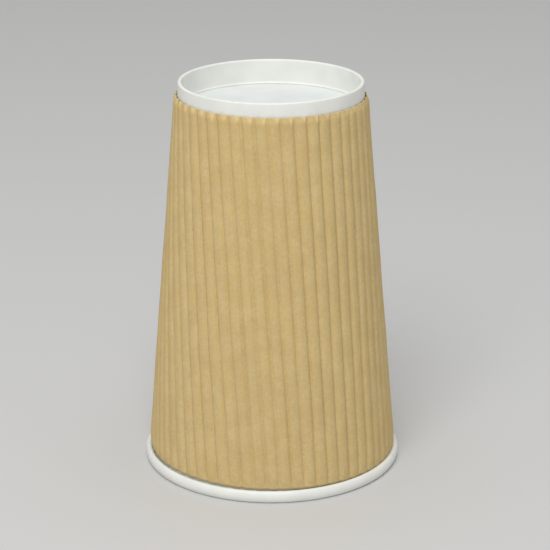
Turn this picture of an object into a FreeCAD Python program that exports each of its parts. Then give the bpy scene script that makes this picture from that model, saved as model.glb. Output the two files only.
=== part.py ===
import FreeCAD, Part
import math
import os

import Sketcher

os.makedirs("parts", exist_ok=True)

# A ripple-wall paper cup, standing mouth down on its rolled rim.
# The frame: +Z up, origin at the centre of the circle on which the rim rests, foot at the top.
# An azimuth is counted in degrees from the front (-Y), positive towards +X.

doc = FreeCAD.newDocument("ripple_cup")

# Driving dimensions, in millimetres and degrees
SIZES = {
    # the cup as a whole
    "rim_diameter": 90.0,
    "foot_diameter": 63.0,
    "cup_height": 135.8,
    # side wall: one blank of coated board, wound to a cone and lapped
    "wall_board": 0.35,
    "lip_radius": 1.4,
    "roll_flank": 1.68,
    "roll_gap": 0.2,
    "roll_top_turn": 215.0,
    "foot_set_out": 0.4,
    "fold_inside_radius": 0.1,
    "hem_clearance": 0.1,
    "lap_width": 7.0,
    "lap_ply": 0.2,
    "lap_azimuth": -24.0,
    "lap_notch_width": 0.6,
    "lap_notch_depth": 0.2,
    # base: a disc with a skirt, held between the wall and its hem
    "base_board": 0.32,
    "base_depth": 8.7,
    "base_corner_radius": 0.9,
    "glue_gap": 0.04,
    # ripple wrap: fluted paper, wound round the wall and lapped
    "wrap_paper": 0.2,
    "wrap_gap": 0.15,
    "foot_show": 4.65,
    "wrap_roll_gap": 0.3,
    "flute_pitch": 4.3,
    "flute_shift": 1.5,
    "flute_height": 0.78,
    "edge_press": 2.0,
    "edge_flute_share": 0.4,
    "wrap_lap": 9.0,
    "wrap_lap_azimuth": -142.0,
    "ply_gap": 0.15,
    "crush_fade": 5.0,
    "corner_clip": 6.0,
}
FLUTE_SIDES = 5
WRAP_BANDS = 6

sizes = doc.addObject("Spreadsheet::Sheet", "Sizes")
for row, (alias, number) in enumerate(SIZES.items(), start=1):
    sizes.set("A%d" % row, alias)
    sizes.set("B%d" % row, str(number))
    sizes.setAlias("B%d" % row, alias)
doc.recompute()


# Measures worked out from the sheet, as expressions

RIM_RADIUS = "(Sizes.rim_diameter / 2)"
FOOT_RADIUS = "(Sizes.foot_diameter / 2)"
HEIGHT = "Sizes.cup_height"
LIP_CENTRE = "(%s - Sizes.lip_radius)" % RIM_RADIUS
ROLL_TOP_RADIUS = "(Sizes.lip_radius - (Sizes.wall_board + Sizes.roll_gap) / 2)"
ROLL_HEIGHT = "(Sizes.lip_radius + Sizes.roll_flank + %s)" % ROLL_TOP_RADIUS
CONE_TOP = "(%s - Sizes.foot_set_out - Sizes.wall_board)" % FOOT_RADIUS
CONE_ACROSS = "(%s - %s)" % (LIP_CENTRE, CONE_TOP)
CONE_UP = "(%s - Sizes.lip_radius)" % HEIGHT
WALL_SLOPE = "(atan({0} / {1}) - asin(Sizes.lip_radius / sqrt({0} ^ 2 + {1} ^ 2)))".format(
    CONE_ACROSS, CONE_UP)
KNEE = "(%s - Sizes.base_depth - Sizes.base_corner_radius)" % HEIGHT
FOLD_FLAT = "(Sizes.base_board + 2 * Sizes.glue_gap - 2 * Sizes.fold_inside_radius)"
HEM_LENGTH = ("(Sizes.base_depth - Sizes.wall_board - Sizes.fold_inside_radius"
              " - (Sizes.base_corner_radius - Sizes.base_board) - Sizes.hem_clearance)")
BASE_LOW = "(%s - Sizes.base_depth - Sizes.base_board)" % HEIGHT


def cone_radius(height):
    """Radius of the wall's liquid side at a height above the rim's rest."""
    return "(%s + (%s - %s) * tan(%s))" % (CONE_TOP, HEIGHT, height, WALL_SLOPE)


def value(expression):
    """What an expression comes to, in millimetres or degrees."""
    number = sizes.evalExpression(expression)
    return float(getattr(number, "Value", number))


def size(alias):
    """A driving dimension, read from the sheet."""
    return float(sizes.get(alias))


def foot_lean():
    """Angle in degrees between the pressed foot and the axis."""
    across = value(cone_radius(KNEE)) - value(FOOT_RADIUS) + size("wall_board")
    return math.degrees(math.atan2(across, value(HEIGHT) - value(KNEE)))


# Sketches of a bent board on its cut edge

def direction(degrees):
    """Unit vector in a sketch, counted from its horizontal axis."""
    return FreeCAD.Vector(math.cos(math.radians(degrees)), math.sin(math.radians(degrees)), 0)


def radial_sketch(body, name):
    """A sketch in a plane through the cup's axis: across is the radius, up is the height."""
    sketch = body.newObject("Sketcher::SketchObject", name)
    planes = {feature.Role: feature for feature in body.Origin.OriginFeatures}
    sketch.AttachmentSupport = (planes["XZ_Plane"], [""])
    sketch.MapMode = "FlatFace"
    return sketch


def tie(sketch, *constraint):
    return sketch.addConstraint(Sketcher.Constraint(*constraint))


def drive(sketch, expression, *constraint):
    """Add a constraint whose value follows the sheet."""
    number = value(expression)
    if constraint[0] == "Angle":
        number = math.radians(number)
    index = tie(sketch, *constraint, number)
    sketch.setExpression("Constraints[%d]" % index, expression)


def drive_point(sketch, geometry, position, across, up):
    """Hold a point of the sketch at a radius and a height."""
    drive(sketch, across, "DistanceX", -1, 1, geometry, position)
    drive(sketch, up, "DistanceY", -1, 1, geometry, position)


def guide_point(sketch, line, across, up):
    """A construction point that a line has to pass through."""
    point = sketch.addGeometry(Part.Point(FreeCAD.Vector(value(across), value(up), 0)), True)
    tie(sketch, "PointOnObject", point, 1, line)
    drive_point(sketch, point, 1, across, up)


def outline(sketch, corners):
    """A closed outline of straight lines through driven corners."""
    points = [FreeCAD.Vector(value(across), value(up), 0) for across, up in corners]
    lines = [sketch.addGeometry(Part.LineSegment(start, end))
             for start, end in zip(points, points[1:] + points[:1])]
    for line, following, (across, up) in zip(lines, lines[1:] + lines[:1], corners):
        tie(sketch, "Coincident", line, 2, following, 1)
        drive_point(sketch, line, 1, across, up)


def turn_about_axis(body, kind, name, sketch, turn="360"):
    """Turn a radial sketch about the cup's axis, evenly to both sides of its plane."""
    feature = body.newObject("PartDesign::" + kind, name)
    feature.Profile = sketch
    feature.ReferenceAxis = (sketch, ["V_Axis"])
    feature.Midplane = True
    feature.setExpression("Angle", "%s * 1 deg" % turn)
    return feature


class BentBoard:
    """A bent board: one face is walked as straights and bends, and the other face follows
    a board's thickness to the left of the walk."""

    def __init__(self, sketch, start, heading, board):
        self.sketch = sketch
        self.point = start
        self.heading = heading
        self.board = board
        self.steps = []

    def left(self):
        return direction(self.heading + 90)

    def join(self, face, back, first, last, smooth):
        """Add one step on both faces and tie it to the step before."""
        step = {"face": self.sketch.addGeometry(face), "back": self.sketch.addGeometry(back),
                "first": first, "last": last}
        if self.steps:
            before = self.steps[-1]
            kind = "Tangent" if smooth else "Coincident"
            for side in ("face", "back"):
                tie(self.sketch, kind, before[side], before["last"], step[side], first)
        self.steps.append(step)
        return step

    def straight(self, length, smooth=True):
        end = self.point + direction(self.heading) * length
        offset = self.left() * self.board
        face = Part.LineSegment(self.point, end)
        back = Part.LineSegment(self.point + offset, end + offset)
        self.point = end
        return self.join(face, back, 1, 2, smooth)

    def bend(self, radius, turn):
        """A round bend; a positive turn goes left."""
        side = 1 if turn > 0 else -1
        centre = self.point + self.left() * radius * side
        start_angle = self.heading - 90 * side
        span = [math.radians(angle) for angle in sorted((start_angle, start_angle + turn))]
        arcs = [Part.ArcOfCircle(Part.Circle(centre, FreeCAD.Vector(0, 0, 1), arc_radius), *span)
                for arc_radius in (radius, radius - side * self.board)]
        self.heading += turn
        self.point = centre - self.left() * radius * side
        first, last = (1, 2) if side > 0 else (2, 1)
        step = self.join(arcs[0], arcs[1], first, last, True)
        tie(self.sketch, "Coincident", step["face"], 3, step["back"], 3)
        return step

    def cut_ends(self):
        """The board's two cut edges."""
        ends = []
        for step, position in ((self.steps[0], self.steps[0]["first"]),
                               (self.steps[-1], self.steps[-1]["last"])):
            points = [self.sketch.getPoint(step[side], position) for side in ("face", "back")]
            ends.append(self.sketch.addGeometry(Part.LineSegment(*points)))
            tie(self.sketch, "Coincident", ends[-1], 1, step["face"], position)
            tie(self.sketch, "Coincident", ends[-1], 2, step["back"], position)
        return ends


# Side wall: folded into a hem at the foot, rolled outwards at the rim

def wall_section(body):
    sketch = radial_sketch(body, "wall_section")
    board, fold = size("wall_board"), size("fold_inside_radius")
    slope, lean = value(WALL_SLOPE), foot_lean()
    foot_flat_end = value(FOOT_RADIUS) - board - fold
    start = FreeCAD.Vector(foot_flat_end - value(FOLD_FLAT) - fold, value(HEIGHT) - board - fold, 0)
    path = BentBoard(sketch, start - direction(90 + lean) * value(HEM_LENGTH), 90 + lean, board)
    hem = path.straight(value(HEM_LENGTH))
    inner_fold = path.bend(fold, -90 - lean)
    flat = path.straight(value(FOLD_FLAT))
    outer_fold = path.bend(fold, lean - 90)
    foot = path.straight((path.point.y - value(KNEE)) / math.cos(math.radians(lean)))
    path.heading = slope - 90
    wall = path.straight((value(KNEE) - size("lip_radius")) / math.cos(math.radians(slope)), smooth=False)
    lip = path.bend(size("lip_radius"), 180 - slope)
    flank = path.straight(size("roll_flank"))
    roll_top = path.bend(value(ROLL_TOP_RADIUS), size("roll_top_turn"))
    hem_end = path.cut_ends()[0]

    for side in ("face", "back"):
        tie(sketch, "Horizontal", flat[side])
        tie(sketch, "Vertical", flank[side])
        tie(sketch, "Parallel", hem[side], foot[side])
        drive(sketch, "Sizes.roll_top_turn * 1 deg", "Angle", roll_top[side])
    tie(sketch, "Parallel", foot["face"], foot["back"])
    tie(sketch, "Parallel", wall["face"], wall["back"])
    tie(sketch, "Perpendicular", hem_end, hem["face"])
    tie(sketch, "Equal", inner_fold["face"], outer_fold["face"])
    guide_point(sketch, foot["face"], "%s - Sizes.wall_board" % FOOT_RADIUS, HEIGHT)
    drive_point(sketch, wall["face"], 1, cone_radius(KNEE), KNEE)
    drive_point(sketch, lip["face"], 3, LIP_CENTRE, "Sizes.lip_radius")
    drive(sketch, HEM_LENGTH, "Distance", hem["face"])
    drive(sketch, FOLD_FLAT, "Distance", flat["face"])
    drive(sketch, "%s - Sizes.wall_board" % HEIGHT, "DistanceY", -1, 1, flat["face"], 1)
    drive(sketch, "Sizes.fold_inside_radius", "Radius", outer_fold["face"])
    drive(sketch, "Sizes.fold_inside_radius + Sizes.wall_board", "Radius", outer_fold["back"])
    drive(sketch, "Sizes.lip_radius", "Radius", lip["face"])
    drive(sketch, "Sizes.lip_radius - Sizes.wall_board", "Radius", lip["back"])
    drive(sketch, "Sizes.roll_flank", "Distance", flank["face"])
    drive(sketch, ROLL_TOP_RADIUS, "Radius", roll_top["face"])
    return sketch


def lap_section(body):
    """The inner ply of the side seam, from the rolled rim up to the base's corner."""
    sketch = radial_sketch(body, "lap_section")
    sunk = "%s + Sizes.wall_board / 2"
    proud = "%s - Sizes.lap_ply"
    outline(sketch, [(sunk % cone_radius(ROLL_HEIGHT), ROLL_HEIGHT), (sunk % cone_radius(KNEE), KNEE),
                     (proud % cone_radius(KNEE), KNEE), (proud % cone_radius(ROLL_HEIGHT), ROLL_HEIGHT)])
    return sketch


def notch_section(body):
    """The cut in the foot's fold where the outer ply ends."""
    sketch = radial_sketch(body, "notch_section")
    inner = "%s - Sizes.foot_set_out - 2 * Sizes.wall_board" % FOOT_RADIUS
    outer = "%s + Sizes.wall_board" % FOOT_RADIUS
    floor = "%s - Sizes.lap_notch_depth" % HEIGHT
    roof = "%s + Sizes.wall_board" % HEIGHT
    outline(sketch, [(inner, floor), (outer, floor), (outer, roof), (inner, roof)])
    return sketch


def make_wall():
    body = doc.addObject("PartDesign::Body", "cup_wall")
    turn_about_axis(body, "Revolution", "wall_turned", wall_section(body))
    turn_about_axis(body, "Revolution", "lap_inner_ply", lap_section(body),
                    "(Sizes.lap_width / %s * 180 / pi)" % RIM_RADIUS)
    turn_about_axis(body, "Groove", "lap_notch", notch_section(body),
                    "(Sizes.lap_notch_width / %s * 180 / pi)" % FOOT_RADIUS)
    body.Placement = FreeCAD.Placement(FreeCAD.Vector(), FreeCAD.Rotation(FreeCAD.Vector(0, 0, 1), 1))
    body.setExpression("Placement.Rotation.Angle", "(Sizes.lap_azimuth - 90) * 1 deg")
    return body


# Base: a disc whose skirt turns up between the wall and the hem

def base_section(body):
    sketch = radial_sketch(body, "base_section")
    corner = size("base_corner_radius")
    lean = foot_lean()
    skirt_top = "%s - Sizes.wall_board - Sizes.fold_inside_radius" % HEIGHT
    foot_x = "%s - Sizes.wall_board - Sizes.glue_gap" % FOOT_RADIUS
    knee_x = "%s - Sizes.glue_gap" % cone_radius(KNEE)
    path = BentBoard(sketch, FreeCAD.Vector(0, value(BASE_LOW), 0), 0, size("base_board"))
    disc = path.straight(value(knee_x) - corner)
    knuckle = path.bend(corner, 90 + lean)
    skirt = path.straight(value(skirt_top) - path.point.y)
    axis_end, skirt_end = path.cut_ends()

    for side in ("face", "back"):
        tie(sketch, "Horizontal", disc[side])
    tie(sketch, "PointOnObject", disc["face"], 1, -2)
    tie(sketch, "Vertical", axis_end)
    tie(sketch, "Parallel", skirt["face"], skirt["back"])
    tie(sketch, "Perpendicular", skirt_end, skirt["face"])
    guide_point(sketch, skirt["face"], foot_x, HEIGHT)
    guide_point(sketch, skirt["face"], knee_x, KNEE)
    drive(sketch, BASE_LOW, "DistanceY", -1, 1, disc["face"], 1)
    drive(sketch, skirt_top, "DistanceY", -1, 1, skirt["face"], 2)
    drive(sketch, "Sizes.base_corner_radius", "Radius", knuckle["face"])
    drive(sketch, "Sizes.base_corner_radius - Sizes.base_board", "Radius", knuckle["back"])
    return sketch


def make_base():
    body = doc.addObject("PartDesign::Body", "cup_base")
    turn_about_axis(body, "Revolution", "base_turned", base_section(body))
    return body


# Ripple wrap: a fan-shaped blank of paper with parallel flutes, wound round the wall

class RippleWrap:
    """The fluted sheet. A place on it is given in the flat blank, whose origin is the apex of
    the wall's cone: x runs across the flutes and y along them. The flutes stay parallel in the
    flat, so on the cone they lean more and more towards the lap, and run out against it."""

    def __init__(self):
        slope = math.radians(value(WALL_SLOPE))
        self.sine = math.sin(slope)
        self.cosine = math.cos(slope)
        self.board = size("wall_board") / self.cosine
        self.apex = value(HEIGHT) + (value(CONE_TOP) + self.board) / math.tan(slope)
        self.foot_arc = (self.apex - value(HEIGHT) + size("foot_show")) / self.cosine
        self.rim_arc = (self.apex - value(ROLL_HEIGHT) - size("wrap_roll_gap")) / self.cosine
        self.half_fan = math.pi * self.sine
        self.lap = size("wrap_lap")
        self.middle = math.radians(size("wrap_lap_azimuth") + 180)

    def past_seam(self, x, y):
        """How far a place lies past the middle of the lap."""
        return abs(x) * math.cos(self.half_fan) - y * math.sin(self.half_fan)

    def flute(self, x):
        """Rise of the flutes above their valleys: broad crests, narrow valleys."""
        from_crest = (x - size("flute_shift")) / size("flute_pitch")
        return size("flute_height") * abs(math.cos(math.pi * from_crest)) ** 1.5

    def share(self, x, y):
        """Part of the flutes' height that is left: pressed at the foot edge, crushed at the lap."""
        from_edge = (math.hypot(x, y) - self.foot_arc) / size("edge_press")
        pressed = size("edge_flute_share") + (1 - size("edge_flute_share")) * ease(from_edge)
        return pressed * ease((-self.past_seam(x, y) - self.lap / 2) / size("crush_fade"))

    def stand_off(self, x, y):
        """Distance of the valleys from the wall's cone."""
        height = self.apex - math.hypot(x, y) * self.cosine
        foot = size("foot_set_out") * max(0, (height - value(KNEE)) / (value(HEIGHT) - value(KNEE)))
        over = 0
        if x > 0:
            over = ease((self.past_seam(x, y) + 1.5 * self.lap) / self.lap)
        return size("wrap_gap") + foot + over * (size("wrap_paper") + size("ply_gap"))

    def place(self, x, y, outside):
        """A point of the sheet's inner or outer face, wound on the cone."""
        arc = math.hypot(x, y)
        azimuth = self.middle + math.atan2(x, y) / self.sine
        radius = arc * self.sine + self.stand_off(x, y) + self.flute(x) * self.share(x, y)
        radius += outside * size("wrap_paper")
        return FreeCAD.Vector(radius * math.sin(azimuth), -radius * math.cos(azimuth),
                              self.apex - arc * self.cosine)

    def columns(self):
        """Where the flutes' sides meet, out to the clipped corners at the lap."""
        step = size("flute_pitch") / FLUTE_SIDES
        corner = self.rim_arc * math.sin(self.half_fan) + self.lap / 2 * math.cos(self.half_fan)
        corner -= size("corner_clip") * math.tan(self.half_fan)
        first = math.ceil((-corner - size("flute_shift")) / step - 0.5)
        last = math.floor((corner - size("flute_shift")) / step - 0.5)
        return [size("flute_shift") + (index + 0.5) * step for index in range(first, last + 1)]

    def rows(self, x):
        """Places along one line of a flute, from the foot edge or the lap down to the rim edge."""
        lap_edge = (abs(x) * math.cos(self.half_fan) - self.lap / 2) / math.sin(self.half_fan)
        start = max(math.sqrt(self.foot_arc ** 2 - min(abs(x), self.foot_arc) ** 2), lap_edge)
        length = math.sqrt(self.rim_arc ** 2 - x ** 2) - start
        press = min(size("edge_press"), length / (WRAP_BANDS + 1))
        bands = [press + (length - press) * band / WRAP_BANDS for band in range(WRAP_BANDS + 1)]
        return [start] + [start + along for along in bands]

    def solid(self):
        """The sheet as one closed solid of flat sides."""
        grids = [[[self.place(x, y, outside) for y in self.rows(x)] for x in self.columns()]
                 for outside in (0, 1)]
        inner, outer = grids
        strips = list(grids)
        for row in (0, -1):
            strips.append([[inside[row], outside[row]] for inside, outside in zip(inner, outer)])
        for column in (0, -1):
            strips.append([inner[column], outer[column]])
        faces = []
        for strip in strips:
            for near, far in zip(strip, strip[1:]):
                for quad in zip(near, near[1:], far[1:], far):
                    faces += triangles(quad)
        sheet = Part.makeCompound(faces)
        sheet.sewShape()
        solid = Part.makeSolid(sheet.Shells[0])
        if solid.Volume < 0:
            solid.reverse()
        return solid


def ease(share):
    """A smooth rise from 0 to 1."""
    share = min(1, max(0, share))
    return share * share * (3 - 2 * share)


def triangles(quad):
    """The two flat halves of a four-sided patch."""
    first, second, third, fourth = quad
    halves = ((first, second, third), (first, third, fourth))
    return [Part.Face(Part.makePolygon([*half, half[0]])) for half in halves]


def make_wrap():
    wrap = doc.addObject("Part::Feature", "ripple_wrap")
    wrap.Shape = RippleWrap().solid()
    wrap.Placement = FreeCAD.Placement()
    return wrap


# Build, test and write each piece

pieces = [make_wall(), make_base(), make_wrap()]
doc.recompute()
for item in doc.Objects:
    if "Invalid" in item.State or "Error" in item.State:
        raise RuntimeError("%s failed: %s" % (item.Name, item.State))
    if item.isDerivedFrom("Sketcher::SketchObject") and not item.FullyConstrained:
        raise RuntimeError("%s is not fully constrained" % item.Name)
for piece in pieces:
    if piece.Shape.isNull() or not piece.Shape.isValid() or len(piece.Shape.Solids) != 1:
        raise RuntimeError("%s has no sound solid" % piece.Label)
    piece.Shape.exportStep("parts/%s.step" % piece.Label)
    print(piece.Label, round(piece.Shape.Volume, 1), "cubic mm")
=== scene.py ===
import math

import bmesh
import bpy
import numpy as np
from mathutils import Matrix, Vector, noise


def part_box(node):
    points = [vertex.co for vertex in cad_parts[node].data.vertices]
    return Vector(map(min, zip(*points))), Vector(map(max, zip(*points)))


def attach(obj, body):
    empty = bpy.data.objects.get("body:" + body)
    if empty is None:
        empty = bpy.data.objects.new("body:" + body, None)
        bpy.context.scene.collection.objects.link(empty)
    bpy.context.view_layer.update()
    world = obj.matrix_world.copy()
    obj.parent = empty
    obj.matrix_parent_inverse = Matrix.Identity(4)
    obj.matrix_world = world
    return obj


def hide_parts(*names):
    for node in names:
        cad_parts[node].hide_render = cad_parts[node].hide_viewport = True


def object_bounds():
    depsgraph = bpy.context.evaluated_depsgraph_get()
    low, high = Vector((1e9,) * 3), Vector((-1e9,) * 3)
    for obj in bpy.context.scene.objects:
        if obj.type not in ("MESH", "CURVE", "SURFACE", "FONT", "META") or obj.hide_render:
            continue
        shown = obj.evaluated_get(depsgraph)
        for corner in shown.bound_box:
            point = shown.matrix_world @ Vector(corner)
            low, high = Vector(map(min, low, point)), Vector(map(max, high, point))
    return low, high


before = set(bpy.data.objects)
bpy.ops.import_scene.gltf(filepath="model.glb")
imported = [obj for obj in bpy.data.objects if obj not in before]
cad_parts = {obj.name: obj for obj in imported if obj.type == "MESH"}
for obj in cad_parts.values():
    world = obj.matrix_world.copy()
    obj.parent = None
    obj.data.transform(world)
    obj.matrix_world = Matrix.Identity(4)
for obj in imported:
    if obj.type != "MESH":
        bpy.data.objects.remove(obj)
cad_low, cad_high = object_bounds()


# The side wall is one blank of white coated paperboard, wound to a cone and sealed along a lap.
# Its foot is folded inwards round the base's skirt and pressed into a ring, and its mouth is
# rolled outwards over itself. The cup stands mouth down on that roll.

MM = 0.001
BOARD = 0.35 * MM
LIP_RADIUS = 1.4 * MM
KNEE_BELOW_BASE = 0.58 * MM
KNEE_BEND = 0.1 * MM
ROLL_HEIGHT = 4.2 * MM
ROLL_LOW_RADIUS = 1.27 * MM
ROLL_TOP_RADIUS = 1 * MM
ROLL_FLANK_TURN = math.radians(60)
ROLL_TURN = math.radians(215)
FOOT_SET_OUT = 0.4 * MM
FOLD_RADIUS = 0.1 * MM
HEM_LENGTH = 7.3 * MM
HEM_CURL = 1.3 * MM
HEM_CURL_TURN = math.radians(75)
HEM_SPACE = 0.4 * MM
WALL_LAP_AZIMUTH = math.radians(-24)
WALL_LAP_LEAN = math.radians(-5)
WALL_LAP_WIDTH = 7 * MM
WALL_LAP_RISE = 0.03 * MM
WALL_LAP_SOFTNESS = 1.2 * MM
LAP_COLUMNS_FROM = -0.15
LAP_COLUMNS_TO = 0.3
LAP_COLUMNS = 76
OTHER_COLUMNS = 223
FOOT_BARE = 4 * MM
FOOT_BARE_SOFTNESS = 0.5 * MM
RIM_BARE_SOFTNESS = 1 * MM
NOTCH_WIDTH = 0.5 * MM
NOTCH_DEPTH = 0.3 * MM
NOTCH_REACH = 0.35 * MM
NOTCH_SOFTNESS = 0.3 * MM
WALL_RIPPLE = 0.04 * MM
WALL_RIPPLES_ROUND = 4
WALL_RIPPLES_PER_METRE = 60
RIM_ZONE = 5 * MM
FOOT_ZONE = 0.5 * MM
BOARD_CLOUD = 9 * MM
BOARD_WAVE = 1.6 * MM
BOARD_FIBRE = 0.35 * MM
BOARD_RELIEF = 0.02 * MM
BOARD_ROUGHNESS = 0.36
BOARD_ROUGHNESS_SPREAD = 0.12


def reach(node, low, high):
    """Largest radius of a CAD piece between two heights."""
    spots = np.array([vertex.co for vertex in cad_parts[node].data.vertices])
    spots = spots[(spots[:, 2] >= low) & (spots[:, 2] <= high)]
    return float(np.hypot(spots[:, 0], spots[:, 1]).max())


def ease(share):
    """A smooth rise from 0 to 1."""
    share = np.clip(share, 0, 1)
    return share * share * (3 - 2 * share)


def bent_board(spot, heading, board, steps):
    """The two faces of a board's section. The first is walked in steps, each with a length, a turn
    and a count of points, and the second lies a board's thickness to the left."""
    spot, face, back = np.array(spot), [], []
    for length, turn, count in [(0, 0, 1)] + steps:
        for _ in range(count):
            heading += turn / count / 2
            spot = spot + length / count * np.array([math.cos(heading), math.sin(heading)])
            heading += turn / count / 2
            face.append(spot)
            back.append(spot + board * np.array([-math.sin(heading), math.cos(heading)]))
    return np.array(face + back[::-1])


def around(radius, height, azimuth):
    """Places at an azimuth counted from the front, positive towards the right."""
    across, deep = radius * np.sin(azimuth), -radius * np.cos(azimuth)
    return np.stack(np.broadcast_arrays(across, deep, height), axis=-1)


def mesh_piece(name, places, closed_across, end_faces=()):
    """A piece whose skin is a grid of places. The first index runs across and may close, the
    second runs along and always closes."""
    across, along = places.shape[:2]
    index = np.arange(across * along).reshape(across, along)
    if closed_across:
        index = np.vstack([index, index[:1]])
    index = np.hstack([index, index[:, :1]])
    quads = np.stack([index[:-1, :-1], index[1:, :-1], index[1:, 1:], index[:-1, 1:]], axis=-1)
    mesh = bpy.data.meshes.new(name)
    mesh.from_pydata(places.reshape(-1, 3).tolist(), [],
                     quads.reshape(-1, 4).tolist() + list(end_faces))
    mesh.shade_smooth()
    piece = bpy.data.objects.new(name, mesh)
    bpy.context.collection.objects.link(piece)
    return piece


height = cad_high.z
rim_radius = reach("cup_wall", 0, RIM_ZONE)
foot_radius = reach("cup_wall", height - FOOT_ZONE, height)
lip_centre = rim_radius - LIP_RADIUS
cone_top = foot_radius - FOOT_SET_OUT - BOARD
slope = math.atan2(lip_centre - cone_top, height - LIP_RADIUS)
slope -= math.asin(LIP_RADIUS / math.hypot(lip_centre - cone_top, height - LIP_RADIUS))


def cone_radius(level):
    """Radius of the wall's liquid side at a height."""
    return cone_top + (height - level) * math.tan(slope)


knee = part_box("cup_base")[0].z - KNEE_BELOW_BASE
foot_lean = math.atan2(cone_radius(knee) - foot_radius + BOARD, height - knee)
hem_edge = foot_radius - BOARD - FOLD_RADIUS - HEM_SPACE - FOLD_RADIUS
half_flank = math.sin(ROLL_FLANK_TURN / 2)
flank_rise = ROLL_HEIGHT - (ROLL_LOW_RADIUS + ROLL_TOP_RADIUS) * (1 - half_flank)
flank_radius = flank_rise / half_flank / 2
low_turn = math.pi - slope - ROLL_FLANK_TURN / 2
top_turn = ROLL_TURN - ROLL_FLANK_TURN / 2
hem_low = Vector((hem_edge + HEM_LENGTH * math.sin(foot_lean),
                  height - BOARD - FOLD_RADIUS - HEM_LENGTH * math.cos(foot_lean)))
hem_heading = math.pi / 2 + foot_lean - HEM_CURL_TURN
curl_middle = math.pi / 2 + foot_lean - HEM_CURL_TURN / 2
section = bent_board(
    hem_low - HEM_CURL * Vector((math.cos(curl_middle), math.sin(curl_middle))),
    hem_heading, BOARD,
    [(HEM_CURL, HEM_CURL_TURN, 5),
     (HEM_LENGTH, 0, 10),
     (FOLD_RADIUS * (math.pi / 2 + foot_lean), -math.pi / 2 - foot_lean, 7),
     (HEM_SPACE, 0, 2),
     (FOLD_RADIUS * (math.pi / 2 - foot_lean), foot_lean - math.pi / 2, 7),
     ((height - BOARD - FOLD_RADIUS - knee) / math.cos(foot_lean), 0, 8),
     (KNEE_BEND, slope - foot_lean, 2),
     ((knee - KNEE_BEND - ROLL_LOW_RADIUS * (1 - math.sin(slope))) / math.cos(slope), 0, 14),
     (ROLL_LOW_RADIUS * low_turn, low_turn, 18),
     (flank_radius * ROLL_FLANK_TURN, ROLL_FLANK_TURN, 10),
     (ROLL_TOP_RADIUS * top_turn, top_turn, 20)])
lowest, highest = section[:, 1].min(), section[:, 1].max()
section[:, 1] = np.interp(section[:, 1], [lowest, highest], [0, height])

lap_turns = WALL_LAP_AZIMUTH + np.linspace(LAP_COLUMNS_FROM, LAP_COLUMNS_TO, LAP_COLUMNS)
other_turns = np.linspace(lap_turns[-1], lap_turns[0] + 2 * math.pi, OTHER_COLUMNS + 2)[1:-1]
azimuths = np.concatenate([lap_turns, other_turns])[:, None]
radius, level = section[None, :, 0], section[None, :, 1]
outside = np.repeat([0, 1], len(section) // 2)[None, :]
past_lap = azimuths - WALL_LAP_AZIMUTH - WALL_LAP_LEAN * (1 - level / height)
past_lap = foot_radius * ((past_lap + math.pi) % (2 * math.pi) - math.pi)
lap_rise = ease(past_lap / WALL_LAP_SOFTNESS + 0.5)
lap_rise = lap_rise * (1 - ease((past_lap - WALL_LAP_WIDTH) / WALL_LAP_WIDTH))
bare_foot = ease((level - (height - FOOT_BARE)) / FOOT_BARE_SOFTNESS)
bare = bare_foot + ease((ROLL_HEIGHT + RIM_BARE_SOFTNESS - level) / RIM_BARE_SOFTNESS)
notch = np.exp(-(past_lap / NOTCH_WIDTH) ** 2)
notch = notch * ease((level - (height - NOTCH_REACH)) / NOTCH_SOFTNESS)
ripple = np.array([[noise.noise(Vector((WALL_RIPPLES_ROUND * math.sin(turn),
                                        WALL_RIPPLES_ROUND * math.cos(turn),
                                        along * WALL_RIPPLES_PER_METRE)))
                    for along in section[:, 1]] for turn in azimuths[:, 0]])
radius = radius + WALL_LAP_RISE * lap_rise * bare * outside + WALL_RIPPLE * ripple * bare
level = level - NOTCH_DEPTH * notch * outside
side_wall = mesh_piece("side_wall", around(radius, level, azimuths), True)


class Value:
    """A value or colour inside a finish. Arithmetic on it adds Math nodes."""

    def __init__(self, finish, socket):
        self.finish = finish
        self.socket = socket

    def combine(self, operation, other):
        settings = {"operation": operation}
        return self.finish.node("ShaderNodeMath", settings, {0: self, 1: other}, "Value")

    def __add__(self, other):
        return self.combine("ADD", other)

    __radd__ = __add__

    def __mul__(self, other):
        return self.combine("MULTIPLY", other)

    __rmul__ = __mul__


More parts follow.
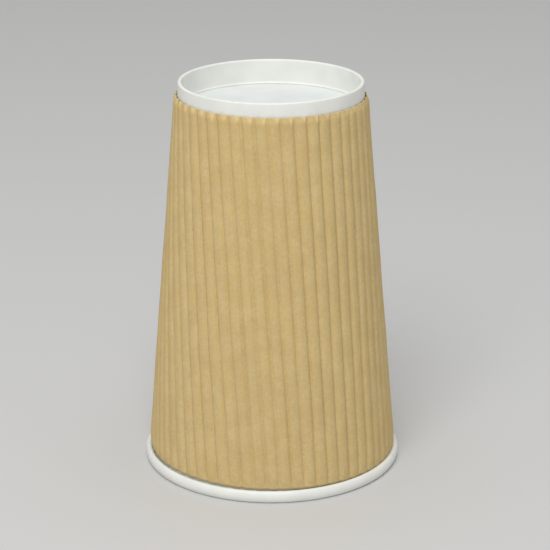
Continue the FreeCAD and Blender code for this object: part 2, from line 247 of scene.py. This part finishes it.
class Finish:
    """The surface of one kind of paper, made of nodes."""

    def __init__(self, name):
        self.material = bpy.data.materials.new(name)
        self.material.use_nodes = True
        self.tree = self.material.node_tree
        self.surface = self.tree.nodes["Principled BSDF"]
        self.spot = self.node("ShaderNodeTexCoord", {}, {}, "Object")

    def join(self, value, socket):
        """Link a value to a socket, or set it there."""
        if isinstance(value, Value):
            self.tree.links.new(value.socket, socket)
        else:
            socket.default_value = value

    def node(self, kind, settings, inputs, output):
        """Add a node of any kind, with its settings first, and give one of its outputs."""
        made = self.tree.nodes.new(kind)
        for setting, value in settings.items():
            setattr(made, setting, value)
        for socket, value in inputs.items():
            self.join(value, made.inputs[socket])
        return Value(self, made.outputs[output])

    def grain(self, size, detail=2.0, stretch_and_painted_highlight=(1, 1, 1)):
        """Noise from 0 to 1 whose patches are about as large as the size."""
        spot = self.node("ShaderNodeMapping", {}, {"Vector": self.spot, "Scale": stretch_and_painted_highlight}, "Vector")
        return self.node("ShaderNodeTexNoise", {},
                         {"Vector": spot, "Scale": 1 / size, "Detail": detail}, "Fac")

    def ramp(self, value, low, high):
        """0 below the low value and 1 above the high one."""
        return self.node("ShaderNodeMapRange", {"interpolation_type": "SMOOTHSTEP"},
                         {"Value": value, "From Min": low, "From Max": high}, "Result")

    def tint(self, amount, first, second):
        """A colour between two colours."""
        return self.node("ShaderNodeMix", {"data_type": "RGBA"},
                         {"Factor": amount, "A": first, "B": second}, "Result")

    def relief(self, bumps, depth):
        """A surface normal from heights between 0 and 1."""
        return self.node("ShaderNodeBump", {},
                         {"Height": bumps, "Distance": depth, "Strength": 1.0}, "Normal")

    def cover(self, piece, **sockets):
        """Set the surface shader and put the finish on a piece."""
        for name, value in sockets.items():
            self.join(value, self.surface.inputs[name.replace("_", " ")])
        piece.data.materials.append(self.material)


def srgb(red, green, blue):
    """A colour written as it shows, in steps of 255."""
    parts = [part / 255 for part in (red, green, blue)]
    return (*[part / 12.92 if part <= 0.04045 else ((part + 0.055) / 1.055) ** 2.4
              for part in parts], 1)


def coat(piece, name, clean, worn):
    """White paperboard under a thin satin film: hardly any colour, a soft gloss, faint waviness."""
    board = Finish(name)
    cloud = board.grain(BOARD_CLOUD)
    fibre = board.grain(BOARD_FIBRE, 4.0)
    wave = board.grain(BOARD_WAVE)
    colour = board.tint(board.ramp(cloud * 0.7 + fibre * 0.3, 0.35, 0.7), clean, worn)
    roughness = board.ramp(fibre, 0.2, 0.8) * BOARD_ROUGHNESS_SPREAD + BOARD_ROUGHNESS
    board.cover(piece, Base_Color=colour, Roughness=roughness,
                Normal=board.relief(wave * 0.6 + fibre * 0.4, BOARD_RELIEF))


WALL_WHITE = srgb(233, 234, 228)
WALL_SHADE = srgb(226, 227, 222)

coat(side_wall, "white_coated_board", WALL_WHITE, WALL_SHADE)
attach(side_wall, "root")
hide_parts("cup_wall")


# The base is a disc of the same coated board, its rim drawn down to a skirt that is glued
# between the side wall and the wall's hem. It is never quite flat after the forming.

BASE_BOARD = 0.32 * MM
BASE_CORNER = 0.9 * MM
BASE_COLUMNS = 240
DISC_SWELL = 0.12 * MM
DISC_SWELL_SIZE = 25 * MM
DISC_SWELL_REACH = 0.8
# Both base colours are a darker copy of the wall's board. The darkening is painted shade that
# offsets the light the upward-facing disc gets from the lamps overhead.
BASE_WHITE_WITH_PAINTED_SHADE = srgb(222, 225, 224)
BASE_TONE_WITH_PAINTED_SHADE = srgb(214, 218, 217)

base_low, base_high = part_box("cup_base")
disc_reach = reach("cup_base", base_low.z, base_high.z) - BASE_CORNER
skirt_rise = base_high.z - base_low.z - BASE_CORNER
section = bent_board(
    (0, base_low.z), 0, BASE_BOARD,
    [(disc_reach, 0, 40),
     (BASE_CORNER * (math.pi / 2 + foot_lean), math.pi / 2 + foot_lean, 12),
     (skirt_rise / math.cos(foot_lean), 0, 4)])
azimuths = np.linspace(-math.pi, math.pi, BASE_COLUMNS + 1)[:-1, None]
radius, level = section[None, :, 0], section[None, :, 1]
swell = np.array([[noise.noise(Vector((across * math.sin(turn) / DISC_SWELL_SIZE,
                                       across * math.cos(turn) / DISC_SWELL_SIZE, 3)))
                   for across in section[:, 0]] for turn in azimuths[:, 0]])
swell_reach = disc_reach * DISC_SWELL_REACH
level = level + DISC_SWELL * swell * (1 - ease((radius - swell_reach) / (disc_reach - swell_reach)))
base = mesh_piece("base_disc", around(radius, level, azimuths), True)

# All columns meet at the disc's middle, so their points there become one.
shell = bmesh.new()
shell.from_mesh(base.data)
bmesh.ops.remove_doubles(shell, verts=shell.verts, dist=0.001 * MM)
shell.to_mesh(base.data)
shell.free()

coat(base, "white_base_board_with_painted_shade", BASE_WHITE_WITH_PAINTED_SHADE, BASE_TONE_WITH_PAINTED_SHADE)
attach(base, "root")
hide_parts("cup_base")


# The wrap is kraft paper with parallel flutes, cut as a fan, wound round the side wall and glued
# at a lap behind. The flutes stay parallel in the flat fan, so they lean more and more towards
# the lap. Its foot edge is pressed against the wall, and the lap is crushed flat.

PAPER = 0.2 * MM
WRAP_GAP = 0.15 * MM
FLUTE_PITCH = 4.3 * MM
FLUTE_HEIGHT = 0.95 * MM
FLUTE_HEIGHT_SPREAD = 0.2
FLUTE_CROWN = 0.2
VALLEY_HALF_WIDTH = 0.72 * MM
VALLEY_SHARPNESS = 1.7
VALLEY_LIFT = 0.35
FLUTE_SHIFT = 1.5 * MM
FLUTE_DRIFT = 1.1 * MM
FLUTE_WANDER = 0.25 * MM
SHEET_WAVE = 0.06 * MM
WANDER_PATCH = 9 * MM
VALLEY_PATCH = 5 * MM
HEIGHT_PATCH = 4 * MM
TAPER_PATCH = 4 * MM
WAVE_PATCH = 14 * MM
DENT_LENGTH = 2.7 * MM
DENT_HALF_WIDTH = 0.9 * MM
DENT_TAPER = 1.3
DENT_TAPER_SPREAD = 0.9
DENT_SHIFT = 0.9 * MM
DENT_SOFTNESS = 0.3 * MM
FOOT_PRESS_LENGTH = 2 * MM
FOOT_FLUTE_SHARE = 0.42
RIM_PRESS_LENGTH = 3 * MM
RIM_FLUTE_SHARE = 0.3
RIM_RISE = 0.32 * MM
FOOT_SKEW = 0.28 * MM
RIM_SKEW = 0.45 * MM
WRAP_LAP = 9 * MM
WRAP_LAP_AZIMUTH = math.radians(-142)
PLY_GAP = 0.15 * MM
CRUSH_FADE = 5 * MM
CORNER_CLIP = 6 * MM
CREASES = [  # azimuth, height, half width, half length, depth
    (math.radians(-38), 70 * MM, 1.2 * MM, 0.5 * MM, 0.22 * MM),
    (math.radians(-2), 32 * MM, 0.35 * MM, 9 * MM, 0.1 * MM),
    (math.radians(5), 26 * MM, 0.35 * MM, 6 * MM, 0.1 * MM),
    (math.radians(64), 88 * MM, 0.9 * MM, 0.6 * MM, 0.18 * MM),
    (math.radians(160), 58 * MM, 1.4 * MM, 0.6 * MM, 0.2 * MM)]
FLUTE_COLUMNS = 20
VALLEY_CROWDING = 0.5
FOOT_ROWS = 9
FOOT_ROW_STEP = 0.4 * MM
MIDDLE_ROWS = 20
MIDDLE_FROM_FOOT = 4 * MM
MIDDLE_FROM_RIM = 4.4 * MM
RIM_ROWS = 5
RIM_ROW_STEP = 0.8 * MM

wrap_low, wrap_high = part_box("ripple_wrap")
apex = height + (cone_top + BOARD / math.cos(slope)) / math.tan(slope)
foot_arc = (apex - wrap_high.z) / math.cos(slope)
rim_arc = (apex - wrap_low.z) / math.cos(slope)
half_fan = math.pi * math.sin(slope)
wrap_middle = WRAP_LAP_AZIMUTH + math.pi


def past_seam(x, y):
    """How far a place in the flat fan lies past the middle of the lap."""
    return abs(x) * math.cos(half_fan) - y * math.sin(half_fan)


def unevenness(x, y, size, seed):
    """Soft random swings between -1 and 1, longer along the flutes than across."""
    return np.array([noise.noise(Vector((across / size, along / size / 4, seed)))
                     for across, along in zip(x.ravel(), y.ravel())]).reshape(x.shape)


def from_crest(x):
    """Distance across the flutes from the nearest crest."""
    return abs((x / FLUTE_PITCH + 0.5) % 1 - 0.5) * FLUTE_PITCH


def flute(x):
    """Rise of the flutes above their valleys, as a share: broad crests, narrow steep valleys."""
    crown = 1 - FLUTE_CROWN * (2 * from_crest(x) / FLUTE_PITCH) ** 2
    from_valley = FLUTE_PITCH / 2 - from_crest(x)
    valley = np.exp(-abs(from_valley / VALLEY_HALF_WIDTH) ** VALLEY_SHARPNESS)
    return crown - (1 - FLUTE_CROWN) * valley


def wound(x, y, rise):
    """Places of the sheet, wound on the cone, raised from the wall's outside."""
    arc = np.hypot(x, y)
    return around(arc * math.sin(slope) + rise, apex - arc * math.cos(slope),
                  wrap_middle + np.arctan2(x, y) / math.sin(slope))


def skewed(x, arc, skew):
    """Places along an edge of the wrap, which sits a little lower on the right than on the left."""
    azimuth = wrap_middle + np.arcsin(np.clip(x / arc, -1, 1)) / math.sin(slope)
    return arc + skew * np.sin(azimuth)


# The fan: columns follow the flutes and gather in the valleys, rows gather at the two edges.
corner = rim_arc * math.sin(half_fan) + WRAP_LAP / 2 * math.cos(half_fan)
corner -= CORNER_CLIP * math.tan(half_fan)
side_columns = int(corner / FLUTE_PITCH * FLUTE_COLUMNS)
columns = np.arange(-side_columns, side_columns) / FLUTE_COLUMNS
columns = columns + VALLEY_CROWDING * np.sin(2 * math.pi * columns) / (2 * math.pi)
x = FLUTE_SHIFT + columns * FLUTE_PITCH
x = x[abs(x) < corner]
full_length = rim_arc - foot_arc
foot_edge, rim_edge = skewed(x, foot_arc, FOOT_SKEW), skewed(x, rim_arc, RIM_SKEW)
lap_edge = (abs(x) * math.cos(half_fan) - WRAP_LAP / 2) / math.sin(half_fan)
start = np.maximum(np.sqrt(np.maximum(foot_edge ** 2 - x ** 2, 0)), lap_edge)
length = np.sqrt(rim_edge ** 2 - (x + FLUTE_DRIFT) ** 2) - start
rows = np.concatenate([
    FOOT_ROW_STEP * np.arange(FOOT_ROWS),
    np.linspace(MIDDLE_FROM_FOOT, full_length - MIDDLE_FROM_RIM, MIDDLE_ROWS),
    full_length - RIM_ROW_STEP * np.arange(RIM_ROWS)[::-1]])
y = start[:, None] + length[:, None] * rows[None, :] / full_length
drift = FLUTE_DRIFT * (y - foot_arc) / full_length
x = x[:, None] + drift

# The flutes: uneven in width and height, dented and pressed at the foot edge, lower at the rim
# edge, crushed at the lap.
across = x - FLUTE_SHIFT - drift + FLUTE_WANDER * unevenness(x, y, WANDER_PATCH, 1)
lifted = VALLEY_LIFT * (0.5 + unevenness(x, y, VALLEY_PATCH, 4))
rise = FLUTE_HEIGHT * (lifted + (1 - lifted) * flute(across))
rise = rise * (1 + FLUTE_HEIGHT_SPREAD * unevenness(x, y, HEIGHT_PATCH, 2))
from_foot = np.hypot(x, y) - foot_edge[:, None]
taper = DENT_TAPER + DENT_TAPER_SPREAD * unevenness(x, y, TAPER_PATCH, 5)
left_open = np.clip(1 - from_foot / DENT_LENGTH * taper, 0, 1)
from_side = DENT_HALF_WIDTH * left_open - from_crest(across - DENT_SHIFT)
dent = left_open * ease(from_side / DENT_SOFTNESS + 0.5)
pressed = FOOT_FLUTE_SHARE + (1 - FOOT_FLUTE_SHARE) * ease(from_foot / FOOT_PRESS_LENGTH)
rise = rise * pressed * (1 - dent)
from_rim = rim_edge[:, None] - np.hypot(x, y)
pressed = RIM_FLUTE_SHARE + (1 - RIM_FLUTE_SHARE) * ease(from_rim / RIM_PRESS_LENGTH)
rise = RIM_RISE + (rise - RIM_RISE) * pressed
rise = rise * ease((-past_seam(x, y) - WRAP_LAP / 2) / CRUSH_FADE)
level = apex - np.hypot(x, y) * math.cos(slope)
turns = wrap_middle + np.arctan2(x, y) / math.sin(slope)
for azimuth, middle, half_width, half_length, depth in CREASES:
    sideways = (turns - azimuth) * cone_radius(level) / half_width
    rise = rise - depth * np.exp(-sideways ** 2 - ((level - middle) / half_length) ** 2)
rise = np.maximum(rise, 0)

# The sheet stands off the wall, and its right end rides over the left one.
over = np.where(x > 0, ease((past_seam(x, y) + 1.5 * WRAP_LAP) / WRAP_LAP), 0)
rise = rise + WRAP_GAP + over * (PAPER + PLY_GAP)
rise = rise + FOOT_SET_OUT * np.clip((level - knee) / (height - knee), 0, 1)
rise = rise + SHEET_WAVE * unevenness(x, y, WAVE_PATCH, 3)
places = np.concatenate([wound(x, y, rise), wound(x, y, rise + PAPER)[:, ::-1]], axis=1)
ring = places.shape[1]
last_ring = (len(places) - 1) * ring
end_faces = [[first + row, first + row + 1, first + ring - 2 - row, first + ring - 1 - row][::turn]
             for first, turn in ((0, 1), (last_ring, -1)) for row in range(ring // 2 - 1)]
wrap = mesh_piece("fluted_wrap", places, False, end_faces)
# The dent mask goes to the finish, which paints the dents paler. This is partly stretched fibres
# and partly a painted highlight where their upturned facets catch the light.
stretched_and_painted_highlight = wrap.data.attributes.new("stretched_and_painted_highlight", "FLOAT", "POINT")
stretched_and_painted_highlight.data.foreach_set("value", np.concatenate([dent, dent[:, ::-1]], axis=1).ravel())

KRAFT_CLOUD = 7 * MM
KRAFT_MOTTLE = 1.1 * MM
KRAFT_FIBRE = 0.3 * MM
STREAK_WIDTH = 2.6 * MM
DARK_FLECK_SIZE = 0.5 * MM
PALE_FLECK_SIZE = 0.42 * MM
TINT_SHARE = 0.35
KRAFT_RELIEF = 0.05 * MM
KRAFT_ROUGHNESS = 0.72
KRAFT_ROUGHNESS_SPREAD = 0.15
KRAFT = srgb(196, 170, 116)
KRAFT_PALE = srgb(208, 184, 131)
KRAFT_STREAK = srgb(203, 174, 106)
# Paler kraft for the dents: stretched fibres and a painted highlight.
KRAFT_STRETCHED_AND_HIGHLIGHT = srgb(234, 213, 164)
DARK_FLECK = srgb(150, 116, 66)
PALE_FLECK = srgb(222, 205, 160)

kraft = Finish("kraft_paper")
cloud = kraft.grain(KRAFT_CLOUD)
mottle = kraft.grain(KRAFT_MOTTLE, 3.0)
fibre = kraft.grain(KRAFT_FIBRE, 5.0, (1, 1, 0.35))
streak = kraft.ramp(kraft.grain(STREAK_WIDTH, 1.5, (1, 1, 0.25)), 0.45, 0.7)
dark_fleck = kraft.ramp(kraft.grain(DARK_FLECK_SIZE, 1.0), 0.69, 0.75)
pale_fleck = kraft.ramp(kraft.grain(PALE_FLECK_SIZE, 1.0), 0.7, 0.76)
stretch_and_painted_highlight = kraft.node("ShaderNodeAttribute", {"attribute_name": "stretched_and_painted_highlight"}, {}, "Fac")
blend = kraft.ramp(cloud * 0.35 + mottle * 0.35 + fibre * 0.3, 0.36, 0.66)
colour = kraft.tint(blend, KRAFT, KRAFT_PALE)
for amount, shade in ((streak, KRAFT_STREAK), (kraft.ramp(stretch_and_painted_highlight, 0, 0.7), KRAFT_STRETCHED_AND_HIGHLIGHT),
                      (dark_fleck, DARK_FLECK), (pale_fleck, PALE_FLECK)):
    colour = kraft.tint(amount * TINT_SHARE, colour, shade)
kraft.cover(wrap, Base_Color=colour, Roughness=fibre * KRAFT_ROUGHNESS_SPREAD + KRAFT_ROUGHNESS,
            Normal=kraft.relief(fibre * 0.6 + mottle * 0.4, KRAFT_RELIEF))
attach(wrap, "root")
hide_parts("ripple_wrap")


# The floor is a wide matt sheet. The light comes from a large soft lamp in front and above, a
# wider, weaker one overhead and an even pale room.

FLOOR_REACH = 6
FLOOR_GREY = srgb(202, 202, 201)
FLOOR_ROUGHNESS = 0.6
ROOM_WHITE = srgb(235, 235, 235)
ROOM_STRENGTH = 0.59

floor_mesh = bpy.data.meshes.new("floor")
floor_mesh.from_pydata([(-FLOOR_REACH, -FLOOR_REACH, 0), (FLOOR_REACH, -FLOOR_REACH, 0),
                        (FLOOR_REACH, FLOOR_REACH, 0), (-FLOOR_REACH, FLOOR_REACH, 0)],
                       [], [(0, 1, 2, 3)])
floor = bpy.data.objects.new("floor", floor_mesh)
bpy.context.collection.objects.link(floor)
sheet = Finish("pale_floor")
sheet.cover(floor, Base_Color=FLOOR_GREY, Roughness=FLOOR_ROUGHNESS)


def soft_lamp(name, place, width, power):
    """A square lamp that points at the middle of the cup."""
    lamp = bpy.data.lights.new(name, "AREA")
    lamp.size = width
    lamp.energy = power
    holder = bpy.data.objects.new(name, lamp)
    holder.location = place
    aim = Vector((0, 0, height / 2)) - holder.location
    holder.rotation_euler = aim.to_track_quat("-Z", "Y").to_euler()
    bpy.context.collection.objects.link(holder)


soft_lamp("key_lamp", place=Vector((-0.2, -0.95, 1.2)), width=0.9, power=13.6)
soft_lamp("top_lamp", place=Vector((0, 0.1, 1.3)), width=1.2, power=3.2)
room = bpy.data.worlds.new("room")
room.use_nodes = True
room.node_tree.nodes["Background"].inputs["Color"].default_value = ROOM_WHITE
room.node_tree.nodes["Background"].inputs["Strength"].default_value = ROOM_STRENGTH
bpy.context.scene.world = room


# The camera stands where the photograph was taken from.

CAMERA_PLACE = Vector((1.2, -675.13, 302.46)) * MM
CAMERA_PITCH = 0.33646
CAMERA_ROLL = 0.00227
SENSOR_WIDTH = 36
PICTURE_WIDTH = 550
FOCAL_PIXELS = 2057.2
NEAREST_SEEN = 0.05

camera = bpy.data.cameras.new("camera")
camera.sensor_width = SENSOR_WIDTH
camera.lens = FOCAL_PIXELS * SENSOR_WIDTH / PICTURE_WIDTH
camera.clip_start = NEAREST_SEEN
viewer = bpy.data.objects.new("camera", camera)
tilt = Matrix.Rotation(math.pi / 2 - CAMERA_PITCH, 4, "X") @ Matrix.Rotation(-CAMERA_ROLL, 4, "Z")
viewer.matrix_world = Matrix.Translation(CAMERA_PLACE) @ tilt
bpy.context.collection.objects.link(viewer)
bpy.context.scene.camera = viewer
bpy.context.scene.view_settings.view_transform = "Standard"
